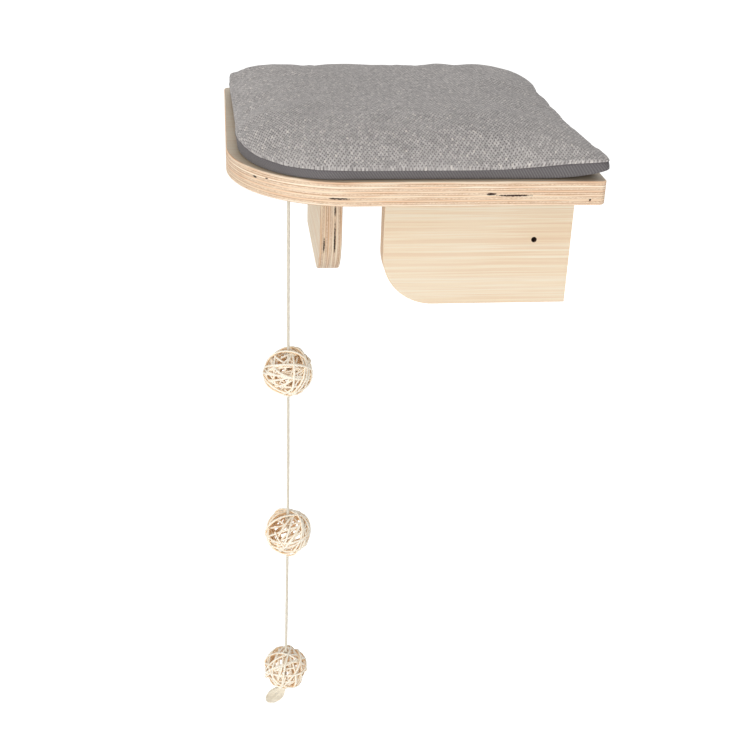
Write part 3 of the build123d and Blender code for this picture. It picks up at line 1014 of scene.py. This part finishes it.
def stuff(piece):
    """Let the top cloth swell over its filling, sewn down along the seam; only the wrinkles stay."""
    sewn_height = seam_height + 0.0014
    kept_share = 0.6
    highest = 0.0024
    rest = [vertex.co.copy() for vertex in piece.data.vertices]
    sewn = piece.vertex_groups.new(name="sewn")
    sewn.add([index for index, place in enumerate(rest) if place.z < sewn_height], 1.0, "REPLACE")
    pick(piece)
    cloth = piece.modifiers.new("Cloth", "CLOTH")
    settings = cloth.settings
    settings.effector_weights.gravity = 0
    settings.quality = 5
    settings.use_pressure = True
    settings.uniform_pressure_force = 4
    settings.tension_stiffness = 22
    settings.compression_stiffness = 18
    settings.shear_stiffness = 8
    settings.bending_stiffness = 0.15
    settings.shrink_min = -0.045
    settings.vertex_group_mass = "sewn"
    for number in range(1, 21):
        bpy.context.scene.frame_set(number)
    pick(piece)
    bpy.ops.object.modifier_apply(modifier=cloth.name)
    bpy.context.scene.frame_set(1)
    moves = [vertex.co - before for vertex, before in zip(piece.data.vertices, rest)]
    swell = evened(piece, moves, 30)
    for vertex, before, move, broad in zip(piece.data.vertices, rest, moves, swell):
        wrinkle = (move - broad) * kept_share
        if wrinkle.length > highest:
            wrinkle *= highest / wrinkle.length
        vertex.co = before + wrinkle


def evened(piece, moves, rounds):
    """The moves of a mesh's points, each evened out over its neighbours again and again."""
    beside = [[] for move in moves]
    for edge in piece.data.edges:
        first, second = edge.vertices
        beside[first].append(second)
        beside[second].append(first)
    result = moves
    for number in range(rounds):
        result = [
            sum((result[other] for other in others), result[index]) / (len(others) + 1)
            for index, others in enumerate(beside)
        ]
    return result


def weave_map(piece):
    """A map in metres for the weave: seen from above, and rolled out down the sloping sides."""
    rolled = 0.0080
    layer = piece.data.uv_layers.new(name="weave")
    for loop in piece.data.loops:
        x, y, z = piece.data.vertices[loop.vertex_index].co
        across = (x - cushion_middle) / cushion_half
        along = (y - cushion_middle) / cushion_half
        outward = Vector((across ** 3, along ** 3))
        if outward.length > 0.0001:
            outward.normalize()
        drop = max(0, min(1, (crown_height - z) / swell_height))
        outward *= rolled * drop ** 1.9
        layer.data[loop.index].uv = (x + outward.x, y + outward.y)


def twill_map(piece):
    """A map in metres for the twill: along the side and up it, and seen from below underneath."""
    outline = [Vector(place) for place in cushion_outline(1.0)]
    size = len(outline)
    run = [0.0]
    for index in range(size):
        run.append(run[-1] + (outline[(index + 1) % size] - outline[index]).length)
    fit = round(run[-1] / twill_pitch) * twill_pitch / run[-1]
    layer = piece.data.uv_layers.new(name="weave")
    for polygon in piece.data.polygons:
        corners = [piece.data.loops[number].vertex_index for number in polygon.loop_indices]
        closing = len(corners) == 4 and any(corner % size == size - 1 for corner in corners)
        for number, corner in zip(polygon.loop_indices, corners):
            place = piece.data.vertices[corner].co
            turn = corner % size
            if abs(polygon.normal.z) > 0.9:
                layer.data[number].uv = (place.x, place.y)
            else:
                layer.data[number].uv = (run[size if closing and turn == 0 else turn] * fit, place.z)


def make_cushion(top_finish, base_finish, seam_finish):
    """The cushion: the stuffed top cloth, the base cloth and the sewn seam between them."""
    top = cut_cushion()
    press(top, "REMESH", mode="VOXEL", voxel_size=0.0042, use_smooth_shade=True)
    stuff(top)
    press(top, "SUBSURF", levels=1, render_levels=1)
    edit_whole(top)
    bpy.ops.mesh.bisect(plane_co=(0, 0, seam_height), plane_no=(0, 0, 1), use_fill=True, clear_inner=True)
    bpy.ops.object.mode_set(mode="OBJECT")
    top.name = "cushion_top"
    base = ringed("cushion_base", base_rings())
    for piece, look, slot_name, nodes in (
        (top, top_finish, "top_fabric", ("cushion_top_cover", "cushion_filling")),
        (base, base_finish, "base_fabric", ("cushion_base_cover",)),
    ):
        for vertex in piece.data.vertices:
            vertex.co = shaped(vertex.co)
        smooth(piece, radians(60))
        dress(piece, look)
        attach(piece, "cushion")
        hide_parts(*nodes)
    weave_map(top)
    twill_map(base)
    seam = sewn_seam()
    dress(seam, seam_finish)
    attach(seam, "cushion")


def sewn_seam():
    """The narrow sewn edge round the cushion, where the two cloths meet."""
    data = bpy.data.curves.new("cushion_seam", "CURVE")
    data.dimensions = "3D"
    data.bevel_depth = seam_radius
    data.bevel_resolution = 2
    spline = data.splines.new("NURBS")
    outline = cushion_outline(0.9975)
    spline.points.add(len(outline) - 1)
    for knot, (x, y) in zip(spline.points, outline):
        knot.co = (*shaped(Vector((x, y, seam_height))), 1)
    spline.order_u = 3
    spline.use_cyclic_u = True
    spline.resolution_u = 2
    pick(put("cushion_seam", data))
    bpy.ops.object.convert(target="MESH")
    seam = bpy.context.object
    smooth(seam, radians(60))
    return seam


def mound(x, y, spot, reach):
    """One at a spot and falling smoothly to nothing round it."""
    return exp(-((x - spot[0]) ** 2 + (y - spot[1]) ** 2) / (reach * reach))


# Pulled folds by the seam: start, end, width and height
folds = (
    ((-0.2800, -0.170), (-0.262, -0.172), 0.0042, -0.0034),
    ((-0.2870, -0.120), (-0.255, -0.100), 0.0046, -0.0026),
    ((-0.2880, -0.095), (-0.262, -0.088), 0.0040, 0.0018),
    ((-0.2870, -0.070), (-0.262, -0.082), 0.0045, -0.0020),
    ((-0.2880, -0.146), (-0.262, -0.138), 0.0042, 0.0022),
    ((-0.2880, -0.200), (-0.258, -0.215), 0.0050, 0.0020),
    ((-0.2450, -0.236), (-0.045, -0.228), 0.0055, 0.0010),
    ((-0.2600, -0.262), (-0.225, -0.225), 0.0080, -0.0012),
    ((-0.1700, -0.285), (-0.160, -0.235), 0.0085, -0.0011),
    ((-0.0900, -0.284), (-0.110, -0.240), 0.0090, -0.0012),
    ((-0.0300, -0.270), (-0.070, -0.235), 0.0080, -0.0018),
    ((-0.0150, -0.290), (-0.045, -0.272), 0.0050, 0.0014),
)
# Soft swellings and hollows: what they follow, height, middle and reach
swellings = (
    ("edge", 0.0034, (-0.284, -0.020), 0.030),
    ("full", 0.0012, (-0.075, -0.060), 0.090),
    ("full", -0.0008, (-0.270, -0.020), 0.050),
    ("full", -0.0010, (-0.140, -0.020), 0.040),
)


def fold_depth(x, y):
    """How far the pulled folds by the seam raise or sink the top cloth."""
    depth = 0.0
    for start, end, width, rise in folds:
        way = Vector(end) - Vector(start)
        part = max(0, min(1, (Vector((x, y)) - Vector(start)).dot(way) / way.length_squared))
        away = (Vector((x, y)) - Vector(start) - way * part).length
        depth += rise * (1 - 0.7 * part) * exp(-(away / width) ** 2)
    return depth


def shaped(place):
    """Shaping of the stuffed cushion: its lifted tip, its sides, its folds and its soft swellings."""
    x, y, z = place
    above = z - seam_height
    share = {"full": max(0.0, min(1.0, above / swell_height)), "edge": max(0.0, min(1.0, above / 0.004))}
    low = 1 - min(1, z / seam_height)
    pull = mound(x, y, cushion_tip, 0.030)
    lift = 0.0062 * mound(x, y, cushion_tip, 0.052 - 0.026 * low)
    flatter = (0.6 - 0.2 * low) * mound(x, y, cushion_tip, 0.030 - 0.018 * low)
    spread = 0.0036 * low * mound(x, y, cushion_tip, 0.014)
    forward = max(0, min(1, (-0.060 - y) / 0.120))
    x += 0.0026 * pull + spread + (0.0010 + 0.0032 * forward) * max(0, 1 - (x - cushion_low) / 0.15)
    y -= 0.0012 * max(0, 1 - (y - cushion_low) / 0.15) + 0.0070 * pull + spread
    z = seam_height + above * (1 - flatter)
    lift -= 0.0018 * (1 - low) * max(0, 1 - (y - cushion_low) / 0.060) * (1 - pull)
    lift += 0.0030 * (1 - low) * mound(x, y, (-0.285, -0.222), 0.034)
    lift += fold_depth(x, y) * share["edge"]
    for kind, height, spot, reach in swellings:
        lift += share[kind] * height * mound(x, y, spot, reach)
    return Vector((x, y, z + lift))


stand_camera()
light_studio()
lay_floor()
# Painted light: the frayed end's cotton is lightened by 1.08 against the shade among its fibres.
make_cord(cotton("cotton_cord", 0.90), cotton("frayed_cotton", 1.08))
make_balls(rattan_finish())
make_panels()
plating = screw_plating()
for node in (
    "back_bracket_wall_screw", "back_bracket_free_screw",
    "side_bracket_wall_screw", "side_bracket_free_screw",
):
    dress(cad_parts[node], plating)
make_cushion(top_cloth(), base_cloth(), seam_thread())

bpy.context.scene.view_settings.view_transform = "Standard"
